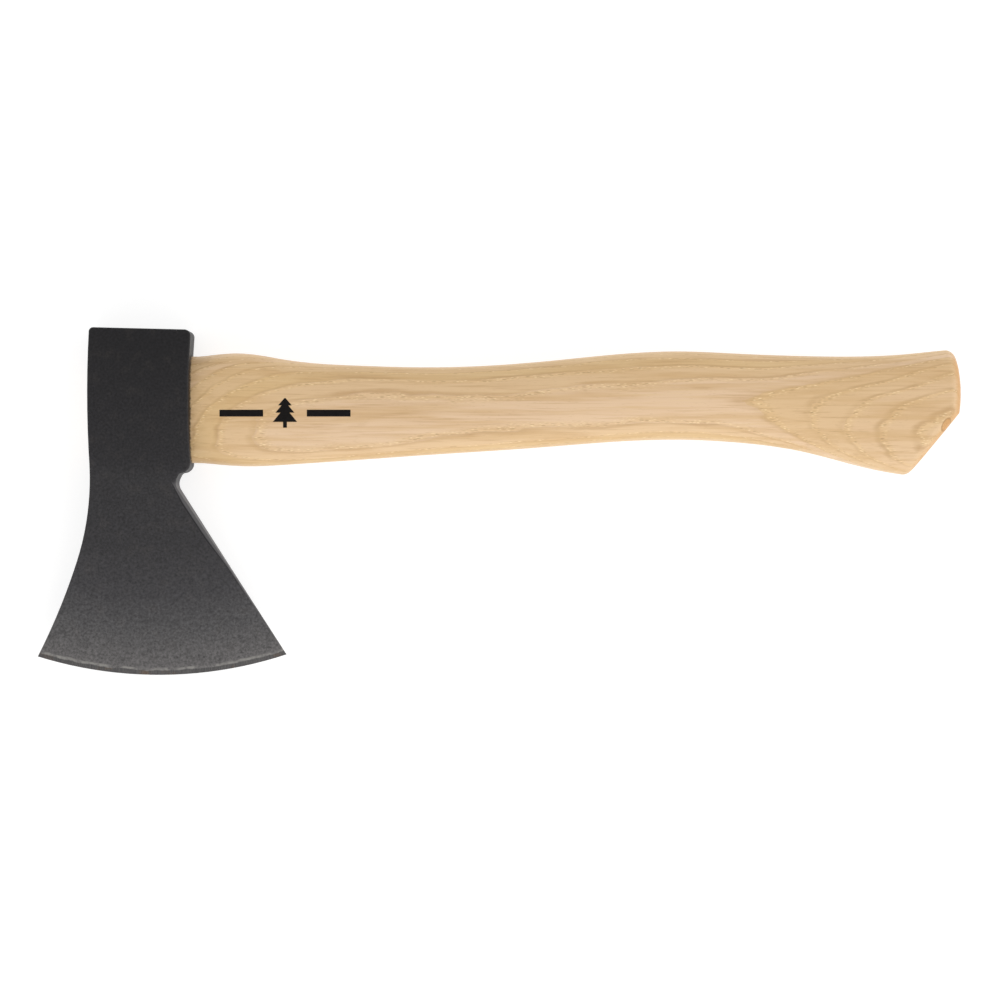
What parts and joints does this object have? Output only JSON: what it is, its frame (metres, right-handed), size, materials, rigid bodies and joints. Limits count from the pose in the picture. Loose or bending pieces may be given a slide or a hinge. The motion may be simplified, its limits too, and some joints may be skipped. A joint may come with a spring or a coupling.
{
  "type": "hatchet",
  "caption": "Small forestry hatchet: drop-forged painted steel head with a narrow bit, wedged on to a curved ash handle with a flared knob.",
  "frame": {"origin": "on the cheek that the hatchet lies on, straight below the middle of the eye", "axes": "+X along the handle towards its butt, +Y from the cutting edge towards the poll, +Z out of the upper cheek"},
  "size_m": [0.3815, 0.1436, 0.026],
  "materials": {
    "painted_steel": "dark graphite paint with a fine orange-peel texture, worn to grey steel on the ground bevel",
    "ash_wood": "pale honey ash under a thin satin lacquer",
    "wedge_wood": "sawn beech, bare",
    "ring_steel": "turned steel with hammer marks"
  },
  "bodies": {
    "root": {"axe_head": "painted_steel", "handle": "ash_wood", "wooden_wedge": "wedge_wood", "ring_wedge": "ring_steel"}
  },
  "joints": []
}
